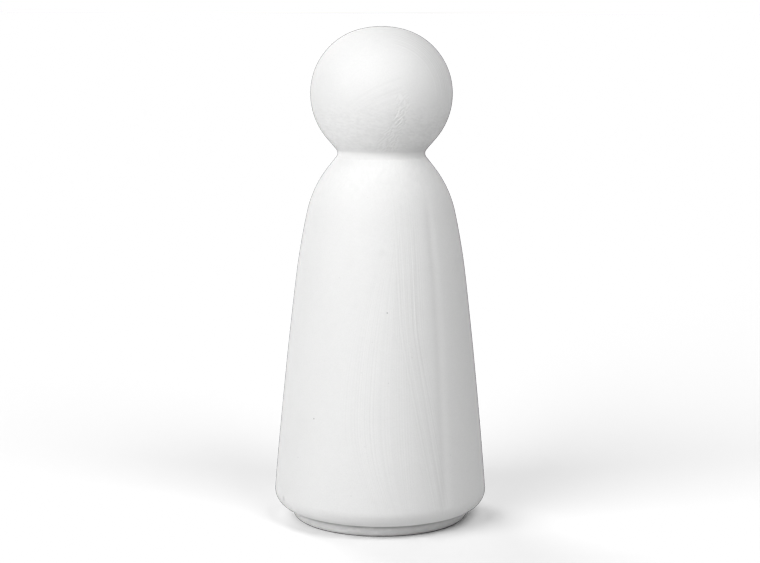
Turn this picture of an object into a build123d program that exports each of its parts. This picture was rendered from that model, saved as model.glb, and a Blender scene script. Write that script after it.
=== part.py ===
from build123d import *
from math import cos, radians, sin, tan
import os

# A slip-cast kokeshi doll in unglazed white earthenware: a round head on a bell-shaped body that
# stands on a smaller foot. It is hollow, and three castings are luted together to make it:
#   head  a ball with a spigot below it, which drops into the body's neck
#   body  a bell, open at the neck and at its rolled-in hem
#   foot  a plate with a foot ring below it and a register above it, which fits the hem's opening
# Fired slip fills both joints. At the neck it also makes the soft concave crease.
#
# Millimetres. +Z is up, and the origin is the centre of the face that the doll stands on.
# Every outline is drawn in the XZ plane as radius and height. A "lean" is the angle, in degrees,
# between the outline and the vertical, leaning towards the axis as it rises.

# Walls, joints, and the hole that lets the firing gases out
body_wall = 4.5
head_wall = 4.0
slip = 0.4
vent_radius = 5.0

# Body: the hem's roll, then three sweeps that lean in more and more up to the neck
hem_radius = 54.0
hem_height = 14.5
hem_roll = 8.4
skirt_sweep, skirt_lean = 2880.0, 4.7
waist_sweep, waist_lean = 330.0, 6.9
shoulder_sweep, shoulder_lean = 55.7, 12.6
neck_lean = 38.3

# Head: a flattened crown, rounder cheeks, and a chin that runs into a cone at the neck
height = 250.0
head_radius = 35.6
crown_half_angle = 16.0
cheek_sweep = 32.9
chin_sweep = 34.5
chin_lean = 40.5

# Neck joint
crease_rounding = 3.2
spigot_radius = 17.4
spigot_wall = 4.0
spigot_depth = 8.0
spigot_edge = 1.0
land_width = 1.8

# Foot
foot_radius = 45.0
foot_edge = 3.6
ring_inner_radius = 35.0
ring_inner_edge = 1.5
recess_depth = 2.5
plate_thickness = 4.5
register_radius = 41.0
register_wall = 4.0
register_height = 8.0
register_corner = 2.0
slip_setback = 0.4

# Worked out from the dimensions above
crown_angle = radians(crown_half_angle)
crown_sweep = (head_radius - cheek_sweep * (1 - sin(crown_angle))) / sin(crown_angle)
hem_bottom = hem_height - hem_roll
hem_inner_radius = hem_radius - hem_roll
foot_height = hem_bottom - slip
plate_top = recess_depth + plate_thickness
bore_radius = spigot_radius + slip
land_radius = bore_radius + land_width
opening_radius = register_radius + slip


def body_side(inset):
    """Draws the bell's side upwards from the hem's lowest point, and returns its last arc."""
    start = (hem_inner_radius, hem_bottom + inset)
    hem = JernArc(start, (1, 0), hem_roll - inset, 90 + skirt_lean)
    skirt = JernArc(hem @ 1, hem % 1, skirt_sweep - inset, waist_lean - skirt_lean)
    waist = JernArc(skirt @ 1, skirt % 1, waist_sweep - inset, shoulder_lean - waist_lean)
    return JernArc(waist @ 1, waist % 1, shoulder_sweep - inset, neck_lean - shoulder_lean)


def head_side(inset):
    """Draws the ball's side downwards from its top, and returns its last arc."""
    crown = JernArc((0, height - inset), (1, 0), crown_sweep - inset, -crown_half_angle)
    cheek = JernArc(crown @ 1, crown % 1, cheek_sweep - inset, crown_half_angle - 90)
    return JernArc(cheek @ 1, cheek % 1, chin_sweep - inset, -chin_lean)


def cone_after(arc):
    """The straight line that carries on from an arc's end."""
    return Axis(arc @ 1, arc % 1)


def height_on(cone, radius):
    """The height at which a cone's line has this radius."""
    return cone.position.Y + (radius - cone.position.X) * cone.direction.Y / cone.direction.X


def radius_on(cone, level):
    """The radius that a cone's line has at this height."""
    return cone.position.X + (level - cone.position.Y) * cone.direction.X / cone.direction.Y


# The shoulder's cone and the chin's cone meet in a sharp crease, which the slip rounds off. Each
# casting stops where that rounding begins, with a bevel from there down to a flat land.
with BuildLine():
    shoulder_cone = cone_after(body_side(0))
    chin_cone = cone_after(head_side(0))
    inner_shoulder_cone = cone_after(body_side(body_wall))
    inner_chin_cone = cone_after(head_side(head_wall))
crease = shoulder_cone.intersect(chin_cone)
crease_reach = crease_rounding * tan(radians(neck_lean + chin_lean) / 2)
shoulder_edge = crease - shoulder_cone.direction * crease_reach
chin_edge = crease - chin_cone.direction * crease_reach
body_seat = crease.Y - slip / 2
head_seat = crease.Y + slip / 2
head_floor = head_seat + head_wall
spigot_end = head_seat - spigot_depth
bore_end = height_on(inner_shoulder_cone, bore_radius)

# Body casting
with BuildPart() as body:
    with BuildSketch(Plane.XZ):
        with BuildLine():
            outer_arc = body_side(0)
            inner_arc = body_side(body_wall)
            Polyline(
                outer_arc @ 1,
                shoulder_edge,
                (land_radius, body_seat),
                (bore_radius, body_seat),
                (bore_radius, bore_end),
                inner_arc @ 1,
            )
            Polyline(
                (hem_inner_radius, hem_bottom + body_wall),
                (opening_radius, hem_bottom + body_wall),
                (opening_radius, hem_bottom),
                (hem_inner_radius, hem_bottom),
            )
        make_face()
    revolve(axis=Axis.Z)
body.part.label = "body"

# Head casting, with its spigot
with BuildPart() as head:
    with BuildSketch(Plane.XZ):
        with BuildLine():
            outer_arc = head_side(0)
            inner_arc = head_side(head_wall)
            Polyline(
                outer_arc @ 1,
                chin_edge,
                (land_radius, head_seat),
                (spigot_radius, head_seat),
                (spigot_radius, spigot_end),
                (spigot_radius - spigot_wall, spigot_end),
                (spigot_radius - spigot_wall, head_floor),
                (radius_on(inner_chin_cone, head_floor), head_floor),
                inner_arc @ 1,
            )
            Line((0, height - head_wall), (0, height))
        make_face()
    revolve(axis=Axis.Z)
    spigot_rims = head.edges().filter_by(GeomType.CIRCLE).group_by(Axis.Z)[0]
    fillet(spigot_rims, spigot_edge)
head.part.label = "head"

# Fired slip in the neck joint: a sleeve round the spigot, a layer on the land, and the crease
with BuildPart() as neck_luting_slip:
    with BuildSketch(Plane.XZ):
        with BuildLine():
            TangentArc(shoulder_edge, chin_edge, tangent=shoulder_cone.direction)
            Polyline(
                chin_edge,
                (land_radius, head_seat),
                (spigot_radius, head_seat),
                (spigot_radius, bore_end),
                (bore_radius, bore_end),
                (bore_radius, body_seat),
                (land_radius, body_seat),
                shoulder_edge,
            )
        make_face()
    revolve(axis=Axis.Z)
neck_luting_slip.part.label = "neck_luting_slip"

upwards = (Align.CENTER, Align.CENTER, Align.MIN)

# Foot casting: the plate with its ring, the register above it, and the vent through it
with BuildPart() as foot:
    Cylinder(foot_radius, foot_height, align=upwards)
    with Locations((0, 0, foot_height)):
        Cylinder(register_radius, register_height, align=upwards)
    with Locations((0, 0, plate_top)):
        dish_depth = foot_height + register_height - plate_top
        Cylinder(register_radius - register_wall, dish_depth, align=upwards, mode=Mode.SUBTRACT)
    Cylinder(ring_inner_radius, recess_depth, align=upwards, mode=Mode.SUBTRACT)
    Hole(vent_radius)
    inner_edge, outer_edge = foot.faces().sort_by(Axis.Z)[0].edges().sort_by(SortBy.RADIUS)
    fillet(outer_edge, foot_edge)
    fillet(inner_edge, ring_inner_edge)
    dish_edges = foot.edges().filter_by_position(Axis.Z, plate_top, plate_top)
    fillet(dish_edges.sort_by(SortBy.RADIUS)[-1], register_corner)
foot.part.label = "foot"

# Fired slip in the foot joint: a layer under the hem and a sleeve round the register
with BuildPart() as foot_luting_slip:
    with Locations((0, 0, foot_height)):
        Cylinder(foot_radius - slip_setback, slip, align=upwards)
    with Locations((0, 0, hem_bottom)):
        Cylinder(opening_radius, body_wall, align=upwards)
    with Locations((0, 0, foot_height)):
        Cylinder(register_radius, slip + body_wall, align=upwards, mode=Mode.SUBTRACT)
foot_luting_slip.part.label = "foot_luting_slip"

os.makedirs("parts", exist_ok=True)
for casting in (head, body, foot, neck_luting_slip, foot_luting_slip):
    export_step(casting.part, f"parts/{casting.part.label}.step")
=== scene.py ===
import bmesh
import bpy
import numpy as np
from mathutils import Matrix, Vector


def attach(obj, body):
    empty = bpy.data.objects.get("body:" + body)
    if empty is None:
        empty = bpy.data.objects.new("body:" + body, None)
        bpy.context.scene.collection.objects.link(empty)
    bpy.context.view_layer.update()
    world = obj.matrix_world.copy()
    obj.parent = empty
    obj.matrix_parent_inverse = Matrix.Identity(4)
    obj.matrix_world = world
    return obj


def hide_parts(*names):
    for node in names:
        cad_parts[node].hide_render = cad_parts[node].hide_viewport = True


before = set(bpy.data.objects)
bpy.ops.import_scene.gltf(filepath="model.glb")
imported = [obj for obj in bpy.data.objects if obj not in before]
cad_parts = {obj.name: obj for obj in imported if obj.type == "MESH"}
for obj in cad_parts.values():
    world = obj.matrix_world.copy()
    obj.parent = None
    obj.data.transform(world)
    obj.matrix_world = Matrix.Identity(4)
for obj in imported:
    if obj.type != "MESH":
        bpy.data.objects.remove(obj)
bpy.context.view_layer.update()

# The looks of a kokeshi doll blank in white bisque. Every CAD node is replaced by a fine mesh on the
# same outline, in which the marks of the potter's work are real relief: the dressed mould seams at
# the front and the back, the dents, tool chatter and sponge streaks on the head, smears of slip, and
# a slow waviness. The materials paint shade into the hollows of those marks and paint highlights on
# their ridges, paint shade into the joint above the foot and under the chin, and paint light into
# the neck's crease. They also add the grain, the pinholes and the smudges.
#
# Outlines are radius and height in millimetres, as in the CAD source. An azimuth is in degrees round
# the axis: 0 faces -Y, the pictured side, and 90 faces +X.

MM = 0.001

# Outline, the same as the CAD model's. The skirt, the waist and the shoulder are arcs, each given
# as its radius and its turn. Leans and turns are in degrees.
HEM_RADIUS, HEM_HEIGHT, HEM_ROLL = 54.0, 14.5, 8.4
SKIRT, WAIST, SHOULDER = (2880.0, 2.2), (330.0, 5.7), (55.7, 25.7)
HEM_LEAN, NECK_LEAN, CHIN_LEAN = 4.7, 38.3, 40.5
HEAD_RADIUS, HEAD_TOP = 35.6, 250.0
CROWN_HALF_ANGLE, CHEEK, CHIN = 16.0, 32.9, 34.5
BODY_WALL, HEAD_WALL, SLIP = 4.5, 4.0, 0.4
CREASE_ROUNDING = 3.2
SPIGOT_RADIUS, SPIGOT_WALL, SPIGOT_DEPTH, LAND = 17.4, 4.0, 8.0, 1.8
FOOT_RADIUS, FOOT_EDGE = 45.0, 3.6
RING_RADIUS, RING_EDGE, RECESS, PLATE = 35.0, 1.5, 2.5, 4.5
REGISTER_RADIUS, REGISTER_WALL, REGISTER_HEIGHT, REGISTER_CORNER = 41.0, 4.0, 8.0, 2.0
VENT_RADIUS, SLIP_SETBACK = 5.0, 0.4

HEM_BOTTOM = HEM_HEIGHT - HEM_ROLL
FOOT_HEIGHT = HEM_BOTTOM - SLIP


# ---------------------------------------------------------------- outlines

class Outline:
    """A path that is walked in steps, and that remembers where it is and which way it heads.

    `skin` says which of its points are on the outer surface, where the relief goes.
    """

    def __init__(self, radius, height, heading=0.0):
        self.points = [np.array([radius, height])]
        self.heading = heading
        self.skin = [False]

    @property
    def end(self):
        return self.points[-1]

    @property
    def direction(self):
        angle = np.radians(self.heading)
        return np.array([np.cos(angle), np.sin(angle)])

    def arc(self, radius, turn, step, skin=True):
        """Turns by an angle, to the left if it is positive, in steps of about `step` mm."""
        side = np.sign(turn)
        normal = np.array([-self.direction[1], self.direction[0]])
        centre = self.end + side * radius * normal
        count = max(2, int(np.ceil(radius * np.radians(abs(turn)) / step)))
        for part in range(1, count + 1):
            angle = np.radians(self.heading + turn * part / count)
            offset = np.array([np.sin(angle), -np.cos(angle)])
            self.points.append(centre + side * radius * offset)
            self.skin.append(skin)
        self.heading += turn
        return self

    def to(self, radius, height, step=None, skin=False):
        """Goes straight to a point, in one step or in steps of about `step` mm.

        The heading stays as it was.
        """
        start, goal = self.end, np.array([radius, height])
        length = np.linalg.norm(goal - start)
        count = 1 if step is None else max(1, int(np.ceil(length / step)))
        for part in range(1, count + 1):
            self.points.append(start + (goal - start) * part / count)
            self.skin.append(skin)
        return self

    def back_along(self, other):
        """Follows another path from its end back to its start, as the inside of a wall."""
        for point in reversed(other.points):
            self.points.append(point)
            self.skin.append(False)
        return self


def body_side(inset, steps):
    """The bell's side, from the hem's lowest point up to the shoulder's cone."""
    path = Outline(HEM_RADIUS - HEM_ROLL, HEM_BOTTOM + inset)
    path.arc(HEM_ROLL - inset, 90 + HEM_LEAN, steps[0])
    for (radius, turn), step in zip((SKIRT, WAIST, SHOULDER), steps[1:]):
        path.arc(radius - inset, turn, step)
    return path


def head_side(inset, steps):
    """The ball's side, from its top down to the chin's cone."""
    angle = np.radians(CROWN_HALF_ANGLE)
    crown = (HEAD_RADIUS - CHEEK * (1 - np.sin(angle))) / np.sin(angle)
    path = Outline(0.0, HEAD_TOP - inset)
    path.arc(crown - inset, -CROWN_HALF_ANGLE, steps[0])
    path.arc(CHEEK - inset, CROWN_HALF_ANGLE - 90, steps[1])
    path.arc(CHIN - inset, -CHIN_LEAN, steps[2])
    return path


def meet(first, second):
    """The point where the straight lines that carry on from two paths cross."""
    sides = np.array([first.direction, -second.direction]).T
    along = np.linalg.solve(sides, second.end - first.end)
    return first.end + along[0] * first.direction


def on_line(path, radius=None, height=None):
    """The point at this radius or height on the straight line that carries on from a path."""
    if radius is not None:
        along = (radius - path.end[0]) / path.direction[0]
    else:
        along = (height - path.end[1]) / path.direction[1]
    return path.end + along * path.direction


# Steps in mm along the arcs of the body's side, of the head's side, and of sides that aren't seen
BODY_STEPS = (0.55, 1.65, 1.6, 1.1)
HEAD_STEPS = (1.0, 0.42, 0.34)
COARSE = (1.5, 12.0, 8.0, 4.0)

shoulder_cone, chin_cone = body_side(0, COARSE), head_side(0, COARSE)
CREASE = meet(shoulder_cone, chin_cone)
CREASE_REACH = CREASE_ROUNDING * np.tan(np.radians(NECK_LEAN + CHIN_LEAN) / 2)
SHOULDER_EDGE = CREASE - shoulder_cone.direction * CREASE_REACH
CHIN_EDGE = CREASE - chin_cone.direction * CREASE_REACH
BODY_SEAT, HEAD_SEAT = CREASE[1] - SLIP / 2, CREASE[1] + SLIP / 2
BORE = SPIGOT_RADIUS + SLIP
LAND_RADIUS = BORE + LAND
BORE_END = on_line(body_side(BODY_WALL, COARSE), radius=BORE)[1]


def body_outline():
    """The closed outline of the body's wall, the outer side first."""
    path = body_side(0, BODY_STEPS)
    path.to(*SHOULDER_EDGE, step=0.6, skin=True)
    path.to(LAND_RADIUS, BODY_SEAT).to(BORE, BODY_SEAT).to(BORE, BORE_END)
    path.back_along(body_side(BODY_WALL, COARSE))
    opening = REGISTER_RADIUS + SLIP
    path.to(opening, HEM_BOTTOM + BODY_WALL).to(opening, HEM_BOTTOM)
    path.skin[0] = True
    return path


def head_outline():
    """The open outline of the head's wall, from the top of the outside to the top of the inside."""
    path = head_side(0, HEAD_STEPS)
    path.to(*CHIN_EDGE, step=0.3, skin=True)
    floor = HEAD_SEAT + HEAD_WALL
    inner = head_side(HEAD_WALL, COARSE)
    spigot_bore = SPIGOT_RADIUS - SPIGOT_WALL
    spigot_end = HEAD_SEAT - SPIGOT_DEPTH
    path.to(LAND_RADIUS, HEAD_SEAT).to(SPIGOT_RADIUS, HEAD_SEAT)
    path.to(SPIGOT_RADIUS, spigot_end + 1).to(SPIGOT_RADIUS - 1, spigot_end)
    path.to(spigot_bore + 1, spigot_end).to(spigot_bore, spigot_end + 1)
    path.to(spigot_bore, floor).to(*on_line(inner, height=floor))
    path.back_along(inner)
    path.skin[0] = True
    return path


def neck_slip_outline():
    """The closed outline of the slip in the neck: the concave crease, the layer and the sleeve."""
    path = Outline(*SHOULDER_EDGE, heading=90 + NECK_LEAN)
    path.arc(CREASE_ROUNDING, -(NECK_LEAN + CHIN_LEAN), 0.3)
    path.to(LAND_RADIUS, HEAD_SEAT).to(SPIGOT_RADIUS, HEAD_SEAT).to(SPIGOT_RADIUS, BORE_END)
    path.to(BORE, BORE_END).to(BORE, BODY_SEAT).to(LAND_RADIUS, BODY_SEAT)
    path.skin[0] = True
    return path


def foot_outline():
    """The closed outline of the foot: the resting ring, the flank, the register and the plate."""
    plate_top = RECESS + PLATE
    rim = REGISTER_RADIUS - REGISTER_WALL
    path = Outline(RING_RADIUS + RING_EDGE, 0.0)
    path.to(FOOT_RADIUS - FOOT_EDGE, 0.0, step=1.0)
    path.arc(FOOT_EDGE, 90, 0.4)
    path.to(FOOT_RADIUS, FOOT_HEIGHT, step=0.4, skin=True)
    path.to(REGISTER_RADIUS, FOOT_HEIGHT).to(REGISTER_RADIUS, FOOT_HEIGHT + REGISTER_HEIGHT)
    path.to(rim, FOOT_HEIGHT + REGISTER_HEIGHT).to(rim, plate_top + REGISTER_CORNER)
    path.heading = -90
    path.arc(REGISTER_CORNER, -90, 0.6, skin=False)
    path.to(VENT_RADIUS, plate_top, step=3.0).to(VENT_RADIUS, RECESS, step=1.5)
    path.to(RING_RADIUS, RECESS, step=1.5).to(RING_RADIUS, RING_EDGE)
    path.heading = -90
    path.arc(RING_EDGE, 90, 0.4, skin=False)
    path.points.pop()
    path.skin.pop()
    path.skin[0] = True
    return path


def foot_slip_outline():
    """The closed outline of the slip above the foot: the layer under the hem and the sleeve."""
    opening = REGISTER_RADIUS + SLIP
    path = Outline(REGISTER_RADIUS, FOOT_HEIGHT)
    path.to(FOOT_RADIUS - SLIP_SETBACK, FOOT_HEIGHT).to(FOOT_RADIUS - SLIP_SETBACK, HEM_BOTTOM)
    path.to(opening, HEM_BOTTOM).to(opening, HEM_BOTTOM + BODY_WALL)
    path.to(REGISTER_RADIUS, HEM_BOTTOM + BODY_WALL)
    return path


# ---------------------------------------------------------------- relief

# The back's marks are laid out as the front's are, but mirrored, and from this azimuth
BACK_AZIMUTH = 182.0

# Seeds of the noises. Each dressed seam has one seed for the body and one for the head.
FRONT_SEEDS, BACK_SEEDS = (100, 300), (200, 400)
SPONGE_SEED, SMEAR_SEED, PAINTED_SHADE_SEED = 500, 600, 700

# Depths of the marks, in mm
BOWED_SCRATCHES, STRAIGHT_SCRATCHES = 0.018, 0.024
SEAM_GROOVE, SEAM_LIP, TWIN_SCRATCH = 0.034, 0.022, 0.030
VALLEY, VALLEY_EDGE = 0.26, 0.016
ARCS, STROKES, CUT, CHATTER = 0.046, 0.014, 0.024, 0.15
SPONGE, FOOT_SMEAR, NECK_SMEAR = 0.020, 0.030, 0.011

# How much painted shade darkens the joint above the foot and under the chin, and how much painted
# light brightens the neck's crease
JOINT_PAINTED_SHADE, CHIN_PAINTED_SHADE, CREASE_PAINTED_LIGHT = 0.48, 0.10, 0.05

# Azimuth, height, size and depth of the two dents beside a seam on the head
DENTS = (
    (32.2, 226.4, 1.9, 0.10),
    (-9.0, 208.5, 3.2, 0.07),
)

# Size and depth of the slow waves in a casting's surface, and the seed of each
WAVES = (
    (31.0, 0.05, 901),
    (15.0, 0.016, 905),
    (7.0, 0.004, 909),
)

TABLE_LENGTH = 4096


def random_table(seed):
    """Random numbers from -1 to 1, always the same ones for a seed."""
    return np.random.RandomState(seed).uniform(-1, 1, TABLE_LENGTH)


def eased(part):
    """A fraction between 0 and 1 that starts and ends gently."""
    return part * part * (3 - 2 * part)


def noise1(x, seed):
    """Smooth noise along a line, with one bump or hollow per unit or so."""
    table = random_table(seed)
    cell = np.floor(x).astype(int)
    blend = eased(x - cell)
    low = table[cell % TABLE_LENGTH]
    high = table[(cell + 1) % TABLE_LENGTH]
    return low * (1 - blend) + high * blend


def noise2(x, y, seed):
    """Smooth noise in a plane, with one bump or hollow per unit or so both ways."""
    table = random_table(seed)
    column, row = np.floor(x).astype(int), np.floor(y).astype(int)
    across, up = eased(x - column), eased(y - row)

    def value(i, j):
        return table[(i * 131 + j * 977) % TABLE_LENGTH]

    low = value(column, row) * (1 - across) + value(column + 1, row) * across
    high = value(column, row + 1) * (1 - across) + value(column + 1, row + 1) * across
    return low * (1 - up) + high * up


def comb(x, pitch, seed):
    """Parallel scratches about `pitch` mm apart, with uneven gaps and depths."""
    phase = x / pitch + 0.45 * noise1(x / (1.9 * pitch) + 10, seed)
    depth = 0.75 + 0.45 * noise1(x / (1.3 * pitch) + 30, seed + 17)
    return depth * np.sin(2 * np.pi * phase)


def rise(x, low, high):
    """0 below low, 1 above high, and smooth between them. It falls if low is above high."""
    return eased(np.clip((x - low) / (high - low), 0, 1))


def bell(x, centre, width):
    """1 at the centre, and falling smoothly on both sides of it."""
    return np.exp(-0.5 * ((x - centre) / width) ** 2)


def wrapped(angle):
    """An angle brought between -180 and 180 degrees."""
    return (angle + 180) % 360 - 180


def arc_length(angle, radius):
    """Degrees round the axis as millimetres along the surface."""
    return np.radians(angle) * radius


def seam_azimuth(height):
    """The body's mould seam: almost straight down from the shoulder, then away to the right."""
    below = 103 - height
    return 20.3 + 0.022 * np.maximum(0, -below) + 0.082 * (below + np.hypot(below, 8))


def bow_azimuth(height):
    """The middle one of the bowed strokes that the dressing tool left beside the seam."""
    bend = np.where(height > 62, 0.0018, 0.0049)
    return -6 + bend * (height - 62) ** 2


def bowed_scratches(azimuth, height, seed):
    """Scratches to the left of the body's seam, which fan out from a point high on it."""
    apex, least_spread, fan_width = 20.0, 2.0, 21.0
    fan = (apex - azimuth) / np.maximum(apex - bow_azimuth(height), least_spread)
    across = fan * fan_width
    lines = comb(across, 1.25, seed) + 0.6 * noise1(across / 0.6 + 40, seed + 1)
    patches = 0.75 + 0.4 * noise2(across / 2.6, height / 40, seed + 2)
    reach = rise(fan, 0.0, 0.2) * rise(fan, 1.9, 1.15)
    return BOWED_SCRATCHES * lines * patches * reach * rise(height, 170, 150)


def straight_scratches(beside, height, seed):
    """Scratches along the body's seam itself, which fade towards the shoulder."""
    drift = beside + 0.022 * (height - 60)
    lines = comb(drift, 1.15, seed + 3) + 0.6 * noise1(drift / 0.6 + 300, seed + 4)
    patches = 0.75 + 0.4 * noise2(drift / 2.2 + 50, height / 30, seed + 5)
    reach = rise(beside, -13, -5) * rise(beside, 10, 2) * (0.45 + 0.55 * rise(height, 165, 115))
    return STRAIGHT_SCRATCHES * lines * patches * reach


def seam_groove(beside, height, seed):
    """The seam's groove with a raised lip on its right, and a scratch beside it higher up."""
    groove = -SEAM_GROOVE * bell(beside, 0.0, 0.32) + SEAM_LIP * bell(beside, 0.8, 0.34)
    groove = groove * rise(height, 165, 120) * (0.75 + 0.3 * noise1(height / 9, seed + 6))
    twin = -TWIN_SCRATCH * bell(beside, 2.1, 0.34) * rise(height, 60, 95) * rise(height, 160, 145)
    return groove, twin


def scraped_valley(azimuth, radius, height, seed):
    """The valley that the scraper left to the right of the seam, and the fine mark along it."""
    middle = 38.4 - 1.3 * rise(height, 110, 50) + 1.4 * rise(height, 140, 170)
    offset = arc_length(azimuth - middle, radius)
    width = 1.7 + 0.6 * rise(height, 165, 110)
    depth = VALLEY * rise(height, 176, 150) * (0.85 + 0.15 * noise1(height / 25, seed + 7))
    valley = -depth * (bell(offset, 0, width) - 0.25 * bell(offset, 3.6, 2.4))
    edge = -VALLEY_EDGE * bell(offset, -1.0, 1.1) * rise(height, 176, 150)
    return valley, edge


def body_dressing(azimuth, radius, height, seed):
    """Relief of one dressed seam on the body, as the fine marks and the broad hollows."""
    ends = rise(height, 9, 18) * rise(height, 177, 162)
    beside = arc_length(azimuth - seam_azimuth(height), radius)
    bowed = bowed_scratches(azimuth, height, seed)
    straight = straight_scratches(beside, height, seed)
    groove, twin = seam_groove(beside, height, seed)
    valley, edge = scraped_valley(azimuth, radius, height, seed)
    return ends * (bowed + straight + groove + twin + edge), ends * valley


def crown_arcs(azimuth, radius, height, seed):
    """Fine arcs from the head's crown down the right side, in planes parallel to the axis."""
    x = radius * np.sin(np.radians(azimuth))
    depth = radius * np.cos(np.radians(azimuth))
    lines = comb(depth, 1.3, seed) + 0.5 * noise1(depth / 0.6 + 60, seed + 1)
    patches = 0.65 + 0.4 * noise2(depth / 2.5, x / 12, seed + 2)
    reach = rise(depth, 7, 11) * rise(depth, 28, 18) * rise(x, 3, 9) * rise(height, 212, 222)
    return ARCS * lines * patches * reach


def curved_strokes(azimuth, height, seed):
    """Strokes on the head that curve down to the left of the chatter, and one deeper cut."""
    leftwards = 16.7 - azimuth
    level = height + 0.16 * leftwards + 0.0035 * leftwards * np.abs(leftwards)
    lines = noise1(level / 0.55 + 20, seed + 3) + 0.25 * noise1(level / 1.7 + 60, seed + 4)
    patches = 0.6 + 0.5 * noise2(level / 2.4, azimuth / 14, seed + 5)
    reach = rise(azimuth, -32, -12) * rise(azimuth, 19, 14) * rise(level, 205, 214)
    strokes = STROKES * lines * patches * reach * rise(level, 231, 224)
    cut = -CUT * bell(level, 220.9, 0.28) * rise(azimuth, -14, -2) * rise(azimuth, 18, 14)
    return strokes, cut


def tool_chatter(azimuth, radius, height, seed):
    """A band of small slanting bumps on the head, which leans down towards the neck."""
    pitch = 1.5
    middle = 7.8 + 9.4 * rise(height, 193, 210)
    beside = arc_length(azimuth - middle, radius)
    up = (height - 200) * 1.05

    # Ridges that slant up to the right, broken into bumps by a noise
    along = beside * 0.66 + up * 0.75
    across = beside * 0.75 - up * 0.66
    broken = np.tanh(3 * noise2(along / 1.25 + 30, across / 0.9 + 70, seed + 6))
    bumps = np.sin(2 * np.pi * across / pitch + 2 * noise1(along / 2 + 50, seed + 9)) * broken

    reach = 4.2 + 2.4 * rise(height, 208, 194)
    band = rise(np.abs(beside + 0.8 * noise1(height / 3, seed + 7)), reach, 0.45 * reach)
    strength = 0.85 + 0.25 * noise1(height / 5, seed + 8) - 0.25 * rise(height, 205, 216)
    return CHATTER * bumps * band * strength * rise(height, 221, 215) * rise(height, 188.5, 190.5)


def head_dressing(azimuth, radius, height, seed):
    """Relief of one dressed seam on the head, as the fine marks and the broad dents."""
    arcs = crown_arcs(azimuth, radius, height, seed)
    strokes, cut = curved_strokes(azimuth, height, seed)
    chatter = tool_chatter(azimuth, radius, height, seed)
    dents = np.zeros_like(azimuth)
    for turn, level, size, deep in DENTS:
        away = np.hypot(arc_length(azimuth - turn, radius), height - level)
        dents = dents - deep * bell(away, 0, size)
    return arcs + strokes + cut + chatter, dents


def sponge(azimuth, radius, height, seed):
    """Streaks of the damp sponge that went round the lower half of the head."""
    round_way = arc_length(azimuth, radius)
    tilted = height + 0.12 * round_way
    streaks = noise2(round_way / 1.9, tilted / 0.75, seed)
    streaks = streaks + 0.8 * noise2(round_way / 1.1, tilted / 0.55, seed + 1)
    return SPONGE * streaks * rise(height, 217, 204) * rise(height, 188, 191)


def smear(azimuth, radius, height, seed):
    """Short smears of slip round the foot's flank, and just below the neck."""
    round_way = arc_length(azimuth, radius)
    low = FOOT_SMEAR * noise2(round_way / 2.2, height / 0.8, seed) * rise(height, 7.5, 5.5)
    high = NECK_SMEAR * noise2(round_way / 0.9, height / 1.6, seed + 1)
    return low + high * rise(height, 160, 174) * rise(height, 187, 184)


def painted_shade(azimuth, radius, height):
    """Painted shade that darkens the joint above the foot and under the chin, and painted light that
    makes the neck's crease paler.
    """
    uneven = 0.85 + 0.25 * noise2(arc_length(azimuth, radius) / 6, height / 2, PAINTED_SHADE_SEED)
    joint = JOINT_PAINTED_SHADE * bell(height, 5.4, 0.6)
    chin = CHIN_PAINTED_SHADE * rise(height, 196, 190) * rise(height, 187.8, 189.2)
    crease = CREASE_PAINTED_LIGHT * bell(height, 186.9, 1.2)
    return uneven * (joint + chin - crease)


def waviness(azimuth, radius, height):
    """The slow unevenness of a casting that was dressed by hand."""
    angle = np.radians(azimuth)
    x, y = radius * np.sin(angle), radius * np.cos(angle)
    total = np.zeros_like(azimuth)
    for size, deep, seed in WAVES:
        first = noise2(x / size + 20, height / size + 10, seed)
        second = noise2(y / size + 50, height / (1.2 * size) + 30, seed + 1)
        total = total + deep * (first + second)
    return total


def relief(azimuth, radius, height):
    """How far the surface stands out of its outline, in mm, and how much of that is fine marks."""
    front = wrapped(azimuth)
    back = -wrapped(azimuth - BACK_AZIMUTH)
    on_body = rise(height, 184, 176)
    on_head = rise(height, 188.3, 190)
    marks = on_head * sponge(azimuth, radius, height, SPONGE_SEED)
    marks = marks + smear(azimuth, radius, height, SMEAR_SEED)
    broad = waviness(azimuth, radius, height)
    for turned, (body_seed, head_seed) in ((front, FRONT_SEEDS), (back, BACK_SEEDS)):
        fine, hollow = body_dressing(turned, radius, height, body_seed)
        marks, broad = marks + on_body * fine, broad + on_body * hollow
        fine, hollow = head_dressing(turned, radius, height, head_seed)
        marks, broad = marks + on_head * fine, broad + on_head * hollow

    # Nothing stands out at the resting face or at the very top
    fade = rise(height, -0.5, 2.5) * rise(HEAD_TOP - height, -0.01, 0.6)
    return (marks + broad) * fade, marks * fade


# ---------------------------------------------------------------- meshes

# Edges that bend by more degrees than this are sharp
SHARP_ANGLE = 28


def azimuths(coarse, sectors):
    """Angles once round the axis, `coarse` degrees apart, or closer within the given sectors."""
    angles = []
    angle = -180.0
    least_gap = 0.4
    while angle < 180.0 - least_gap:
        angles.append(angle)
        steps = [step for low, high, step in sectors if low <= angle < high]
        angle += min(steps, default=coarse)
    return np.array(angles)


def outward(points, closed):
    """Unit normals of an outline. A closed outline runs up its outer side, and an open one down."""
    if closed:
        along = np.roll(points, -1, 0) - np.roll(points, 1, 0)
        normals = np.stack([along[:, 1], -along[:, 0]], 1)
    else:
        along = np.gradient(points, axis=0)
        normals = np.stack([-along[:, 1], along[:, 0]], 1)
    return normals / np.linalg.norm(normals, axis=1)[:, None]


def side_faces(grid, closed):
    """Quads between neighbouring rows. An open outline's first and last rows are its poles."""
    if closed:
        below, above = grid, np.roll(grid, -1, 0)
    else:
        below, above = grid[1:-2], grid[2:-1]
    corners = [below, np.roll(below, -1, 1), np.roll(above, -1, 1), above]
    return np.stack(corners, 2).reshape(-1, 4).tolist()


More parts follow.
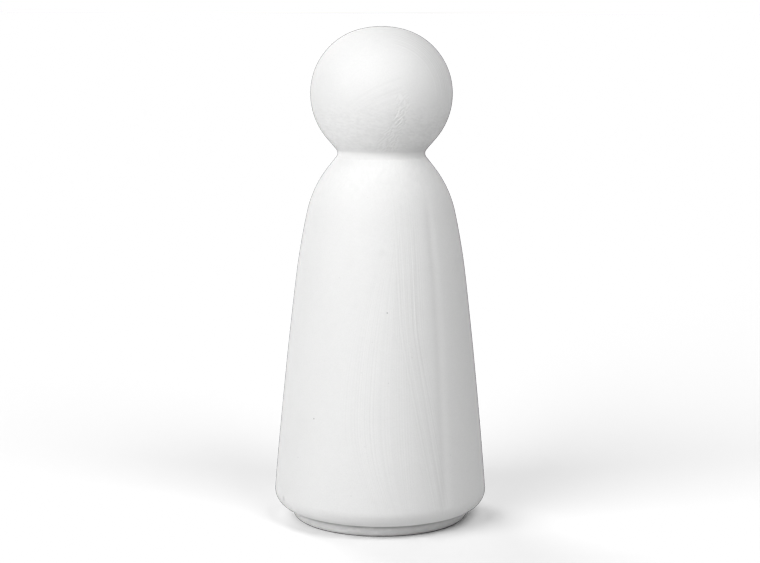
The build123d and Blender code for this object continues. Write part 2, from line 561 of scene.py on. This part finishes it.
def pole_faces(grid):
    """Triangles from each pole to the row next to it."""
    faces = []
    for pole, ring in ((0, 1), (len(grid) - 1, len(grid) - 2)):
        for a, b in zip(grid[ring], np.roll(grid[ring], -1)):
            faces.append([grid[pole][0], a, b])
    return faces


def revolved(name, path, angles, closed):
    """A closed mesh: the outline turned round the axis, with the relief on its outer rows."""
    points = np.array(path.points)
    normals = outward(points, closed)
    rows, columns = len(points), len(angles)
    radius = np.repeat(points[:, 0:1], columns, 1)
    height = np.repeat(points[:, 1:2], columns, 1)
    azimuth = np.repeat(angles[None], rows, 0)
    skin = np.array(path.skin)[:, None]
    lift, marks = relief(azimuth, radius, height)
    lift, marks = lift * skin, marks * skin
    # The fine marks' relief, and the painted shade and light in the creases, go to the materials
    values = {"marks": marks.reshape(-1), "painted_shade": painted_shade(azimuth, radius, height).reshape(-1)}
    radius = radius + lift * normals[:, 0:1]
    height = height + lift * normals[:, 1:2]
    turn = np.radians(azimuth)
    vertices = np.stack([radius * np.sin(turn), -radius * np.cos(turn), height], 2) * MM
    vertices = vertices.reshape(-1, 3)
    grid = np.arange(rows * columns).reshape(rows, columns)
    faces = side_faces(grid, closed)

    # A pole is one point, so the rest of its row goes and the others are numbered again
    if not closed:
        faces = faces + pole_faces(grid)
        used = np.ones(len(vertices), bool)
        used[grid[0][1:]] = False
        used[grid[-1][1:]] = False
        renumbered = np.cumsum(used) - 1
        vertices = vertices[used]
        values = {key: value[used] for key, value in values.items()}
        faces = [[int(renumbered[i]) for i in face] for face in faces]

    mesh = bpy.data.meshes.new(name)
    mesh.from_pydata(vertices.tolist(), [], faces)
    for key, value in values.items():
        mesh.attributes.new(key, "FLOAT", "POINT").data.foreach_set("value", value)
    piece = bpy.data.objects.new(name, mesh)
    bpy.context.scene.collection.objects.link(piece)
    return piece


def finish_mesh(piece):
    """Outward normals, smooth shading, and sharp edges where the outline has corners."""
    work = bmesh.new()
    work.from_mesh(piece.data)
    bmesh.ops.recalc_face_normals(work, faces=work.faces)
    work.to_mesh(piece.data)
    work.free()
    piece.data.shade_smooth()
    piece.data.set_sharp_from_angle(angle=np.radians(SHARP_ANGLE))


# ---------------------------------------------------------------- materials

class Nodes:
    """Adds nodes to a tree: settings are attributes, and sockets take values or other sockets."""

    def __init__(self, tree):
        self.tree = tree
        tree.nodes.clear()

    def add(self, kind, sockets=None, **settings):
        """Adds a node and returns it."""
        node = self.tree.nodes.new(kind)
        for key, value in settings.items():
            setattr(node, key, value)
        for key, value in (sockets or {}).items():
            if isinstance(value, bpy.types.NodeSocket):
                self.tree.links.new(value, node.inputs[key])
            else:
                node.inputs[key].default_value = value
        return node

    def math(self, operation, a, b=0.0):
        """The result of an operation on two numbers, or on the first alone."""
        return self.add("ShaderNodeMath", {0: a, 1: b}, operation=operation).outputs[0]

    def ranged(self, value, from_low, from_high, to_low, to_high, smooth=False):
        """A value brought from one range into another, and kept within it."""
        sockets = {
            "Value": value,
            "From Min": from_low,
            "From Max": from_high,
            "To Min": to_low,
            "To Max": to_high,
        }
        kind = "SMOOTHSTEP" if smooth else "LINEAR"
        return self.add("ShaderNodeMapRange", sockets, interpolation_type=kind).outputs["Result"]

    def noise(self, place, size, detail=2.0, rough=0.5):
        """Noise from 0 to 1 with bumps of about `size` mm."""
        node = self.add(
            "ShaderNodeTexNoise",
            {"Vector": place, "Scale": 1.0 / size, "Detail": detail, "Roughness": rough},
        )
        return node.outputs["Fac"]

    def mottle(self, place, size, low, high, detail=2.0, rough=0.5):
        """Noise that runs from `low` to `high`."""
        return self.ranged(self.noise(place, size, detail, rough), 0.3, 0.7, low, high)

    def spotted(self, shade, place, spots, edge):
        """Darkens round spots. `edge` is where each starts and ends to fade, in its own radii."""
        inner, outer = edge
        for azimuth, height, size, dark in spots:
            ends = {0: place, 1: spot_place(azimuth, height)}
            node = self.add("ShaderNodeVectorMath", ends, operation="DISTANCE")
            away = node.outputs["Value"]
            dimmed = self.ranged(away, size * inner, size * outer, 1 - dark, 1.0, smooth=True)
            shade = self.math("MULTIPLY", shade, dimmed)
        return shade


def spot_place(azimuth, height):
    """A point on the outer surface, in mm, for a spot of colour."""
    if height > CREASE[1]:
        upwards = head_side(0, (0.5, 0.5, 0.5)).points[::-1]
    else:
        upwards = body_side(0, (0.2, 1.0, 1.0, 0.5)).points
    radii, heights = np.array(upwards).T
    radius = np.interp(height, heights, radii)
    turn = np.radians(azimuth)
    return (radius * np.sin(turn), -radius * np.cos(turn), height)


# Where a spot's edge starts and ends to fade, as parts of its radius
PINHOLE_EDGE, SMUDGE_EDGE = (0.55, 1.25), (0.3, 1.6)

# Azimuth, height, radius in mm, and how dark the middle is
PINHOLES = (
    (4, 112.5, 0.36, 0.5),
    (-41, 58.5, 0.36, 0.5),
    (-52, 37.5, 0.3, 0.2),
    (19, 90.5, 0.28, 0.14),
    (4.5, 78.5, 0.28, 0.18),
    (-8.5, 47.5, 0.28, 0.15),
    (-15.5, 23, 0.3, 0.16),
    (42, 40.5, 0.28, 0.15),
    (161, 96, 0.36, 0.45),
    (-128, 41, 0.34, 0.35),
    (104, 132, 0.32, 0.3),
)
SMUDGES = (
    (1, 141.5, 1.9, 0.026),
    (16, 163, 1.6, 0.018),
    (-17, 115.5, 1.9, 0.016),
    (-31, 105.5, 1.9, 0.014),
    (-20.5, 136.5, 2.2, 0.010),
    (-6, 243, 1.6, 0.020),
    (-64.5, 14, 1.3, 0.16),
    (-150, 120, 2.2, 0.02),
    (118, 70, 2.6, 0.02),
    (-118, 225, 2.0, 0.02),
)

# The painted shade that deep hollows of the marks come near, the painted highlight that high ridges
# come near, and the gain per mm that takes them there
PAINTED_HOLLOW_SHADE, PAINTED_RIDGE_HIGHLIGHT = 0.95, 1.05
MARK_GAIN = 40.0

# Tone of the small pinholes that are anywhere, and how far apart these are in mm
PORE_TONE, PORE_SPACING = 0.88, 11.0

# Relief of the fine tooth and of the dimples in mm, and of a pore for a whole step of its tone
TOOTH, DIMPLE, PORE = 0.016, 0.012, 0.12


def bisque(name, tint, rough):
    """Unglazed white bisque: matt, faintly mottled and grainy, with pinholes and a few smudges."""
    material = bpy.data.materials.new(name)
    material.use_nodes = True
    nodes = Nodes(material.node_tree)
    metres = nodes.add("ShaderNodeTexCoord").outputs["Object"]
    in_mm = nodes.add("ShaderNodeVectorMath", {0: metres, 3: 1.0 / MM}, operation="SCALE")
    place = in_mm.outputs[0]

    # Colour: clouds, mottling and grain multiply one tint. Marks get painted shade in their hollows
    # and a painted highlight on their ridges.
    clouds = nodes.mottle(place, 26.0, 0.992, 1.006)
    mottling = nodes.mottle(place, 3.2, 0.994, 1.005, detail=3.0)
    grain = nodes.mottle(place, 0.55, 0.972, 1.022, rough=0.6)
    shade = nodes.math("MULTIPLY", nodes.math("MULTIPLY", clouds, mottling), grain)
    marks = nodes.add("ShaderNodeAttribute", attribute_name="marks").outputs["Fac"]
    # Painted shade in the hollows of the marks and a painted highlight on their ridges, from their
    # relief
    limited = nodes.math("TANH", nodes.math("MULTIPLY", marks, MARK_GAIN))
    painted_mark_shade = nodes.ranged(limited, -1.0, 1.0, PAINTED_HOLLOW_SHADE, PAINTED_RIDGE_HIGHLIGHT)
    shade = nodes.math("MULTIPLY", shade, painted_mark_shade)
    # Painted shade in the joint above the foot and under the chin, and painted light in the neck's
    # crease
    painted_shade = nodes.add("ShaderNodeAttribute", attribute_name="painted_shade").outputs["Fac"]
    shade = nodes.math("MULTIPLY", shade, nodes.math("SUBTRACT", 1.0, painted_shade))

    # Pinholes and smudges at their own places, and small pinholes anywhere
    shade = nodes.spotted(shade, place, PINHOLES, PINHOLE_EDGE)
    shade = nodes.spotted(shade, place, SMUDGES, SMUDGE_EDGE)
    cells = nodes.add("ShaderNodeTexVoronoi", {"Vector": place, "Scale": 1.0 / PORE_SPACING})
    pores = nodes.ranged(cells.outputs["Distance"], 0.014, 0.030, PORE_TONE, 1.0, smooth=True)
    shade = nodes.math("MULTIPLY", shade, pores)
    colour = nodes.add("ShaderNodeVectorMath", {0: tint, 3: shade}, operation="SCALE").outputs[0]

    # Fine tooth of the surface
    tooth = nodes.math("MULTIPLY", nodes.noise(place, 0.42, 3.0, 0.62), TOOTH)
    dimples = nodes.math("MULTIPLY", nodes.noise(place, 1.7, 2.0), DIMPLE)
    height = nodes.math("ADD", tooth, dimples)
    height = nodes.math("ADD", height, nodes.math("MULTIPLY", pores, PORE))
    bump = nodes.add("ShaderNodeBump", {"Height": height, "Strength": 1.0, "Distance": MM})
    roughness = nodes.mottle(place, 5.0, rough - 0.05, rough + 0.05)

    shader = nodes.add(
        "ShaderNodeBsdfPrincipled",
        {
            "Base Color": colour,
            "Roughness": roughness,
            "Specular IOR Level": 0.3,
            "Normal": bump.outputs["Normal"],
        },
    )
    nodes.add("ShaderNodeOutputMaterial", {"Surface": shader.outputs["BSDF"]})
    return material


def paper(name):
    """The floor's plain grey, which only shows in the light that it throws back onto the doll."""
    material = bpy.data.materials.new(name)
    material.use_nodes = True
    nodes = Nodes(material.node_tree)
    grey = 0.77
    shader = nodes.add(
        "ShaderNodeBsdfPrincipled",
        {"Base Color": (grey, grey, grey, 1.0), "Roughness": 0.95, "Specular IOR Level": 0.1},
    )
    nodes.add("ShaderNodeOutputMaterial", {"Surface": shader.outputs["BSDF"]})
    return material


# ---------------------------------------------------------------- the doll

# Material of each slot
MATERIALS = {
    "white_bisque": bisque("white_bisque", (0.86, 0.86, 0.857), 0.82),
    "luting_slip": bisque("fired_slip", (0.855, 0.855, 0.85), 0.84),
}

# Azimuths of a mesh's columns, closer together across the dressed seams. Each sector has its two
# ends and its step.
body_seams = [(-28, 44, 0.36), (136, 180, 0.5), (-180, -152, 0.5)]
head_seams = [(-36, 0, 0.8), (0, 46, 0.36), (46, 78, 0.8), (120, 180, 1.2), (-180, -146, 1.2)]
body_angles = azimuths(2.2, body_seams)
head_angles = azimuths(2.2, head_seams)
plain_angles = azimuths(1.0, [])

# Name, CAD node, slot, outline, azimuths, and whether the outline is closed
PIECES = (
    ("body_casting", "body", "white_bisque", body_outline(), body_angles, True),
    ("head_casting", "head", "white_bisque", head_outline(), head_angles, False),
    ("foot_casting", "foot", "white_bisque", foot_outline(), plain_angles, True),
    ("neck_slip", "neck_luting_slip", "luting_slip", neck_slip_outline(), head_angles, True),
    ("foot_slip", "foot_luting_slip", "luting_slip", foot_slip_outline(), plain_angles, True),
)
for name, node, slot, path, angles, closed in PIECES:
    piece = revolved(name, path, angles, closed)
    finish_mesh(piece)
    piece.data.materials.append(MATERIALS[slot])
    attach(piece, "root")
    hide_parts(node)


# ---------------------------------------------------------------- the studio

# The lights face the middle of the doll, at this height in metres
AIM_HEIGHT = 0.125

# Azimuth, elevation, distance and size in metres, and power in watts
SOFTBOXES = {
    "key": (-46, 30, 0.85, 0.75, 5.25),
    "fill": (40, 50, 0.85, 0.5, 3.05),
    "rim_left": (-150, 30, 1.5, 0.9, 9.0),
    "rim_right": (150, 30, 1.5, 0.9, 2.0),
}

# The camera stands in front, a little above the head, and looks slightly down. Places are in
# metres, angles in degrees, and the lens and its sensor in mm.
CAMERA_DISTANCE, CAMERA_HEIGHT, CAMERA_ASIDE = 0.920, 0.2573, -0.0009
CAMERA_PITCH, CAMERA_ROLL = -8.4, -0.19
CAMERA_LENS, CAMERA_SENSOR = 86.59, 36.0


def make_floor():
    """A wide round floor, level with the face that the doll stands on, which catches shadows."""
    sides = 64
    rings = (0.3, 1.0, 5.0, 30.0, 200.0)
    vertices = [(0.0, 0.0, 0.0)]
    faces = []
    for ring in rings:
        for part in range(sides):
            angle = 2 * np.pi * part / sides
            vertices.append((ring * np.cos(angle), ring * np.sin(angle), 0.0))
    for part in range(sides):
        after = (part + 1) % sides
        faces.append((0, 1 + part, 1 + after))
        for ring in range(len(rings) - 1):
            inner, outer = 1 + ring * sides, 1 + (ring + 1) * sides
            faces.append((inner + part, outer + part, outer + after, inner + after))
    mesh = bpy.data.meshes.new("floor")
    mesh.from_pydata(vertices, [], faces)
    floor = bpy.data.objects.new("floor", mesh)
    bpy.context.scene.collection.objects.link(floor)
    floor.data.materials.append(paper("floor_paper"))
    floor.is_shadow_catcher = True


def softbox(name, azimuth, elevation, distance, size, power):
    """A round softbox that the camera doesn't see."""
    light = bpy.data.lights.new(name, "AREA")
    light.shape = "DISK"
    light.size = size
    light.energy = power
    lamp = bpy.data.objects.new(name, light)
    turn, rising = np.radians(azimuth), np.radians(elevation)
    across = np.cos(rising)
    towards = Vector((np.sin(turn) * across, -np.cos(turn) * across, np.sin(rising)))
    lamp.rotation_euler = towards.to_track_quat("Z", "Y").to_euler()
    lamp.location = towards * distance + Vector((0, 0, AIM_HEIGHT))
    lamp.visible_camera = False
    bpy.context.scene.collection.objects.link(lamp)


make_floor()
for name, settings in SOFTBOXES.items():
    softbox(name, *settings)

# The world is white to the camera, and only dim as a light
world = bpy.data.worlds.new("studio")
bpy.context.scene.world = world
world.use_nodes = True
sky = Nodes(world.node_tree)
rays = sky.add("ShaderNodeLightPath")
white = (1.0, 1.0, 1.0, 1.0)
lit = sky.add("ShaderNodeBackground", {"Color": white, "Strength": 0.10})
seen = sky.add("ShaderNodeBackground", {"Color": white, "Strength": 1.0})
both = sky.add(
    "ShaderNodeMixShader",
    {0: rays.outputs["Is Camera Ray"], 1: lit.outputs[0], 2: seen.outputs[0]},
)
sky.add("ShaderNodeOutputWorld", {"Surface": both.outputs[0]})

camera_data = bpy.data.cameras.new("camera")
camera_data.sensor_width = CAMERA_SENSOR
camera_data.lens = CAMERA_LENS
camera_data.clip_start = 0.01
camera = bpy.data.objects.new("camera", camera_data)
camera.location = (CAMERA_ASIDE, -CAMERA_DISTANCE, CAMERA_HEIGHT)
camera.rotation_euler = (np.radians(90 + CAMERA_PITCH), np.radians(CAMERA_ROLL), 0)
bpy.context.scene.collection.objects.link(camera)
bpy.context.scene.camera = camera
bpy.context.scene.view_settings.view_transform = "Standard"
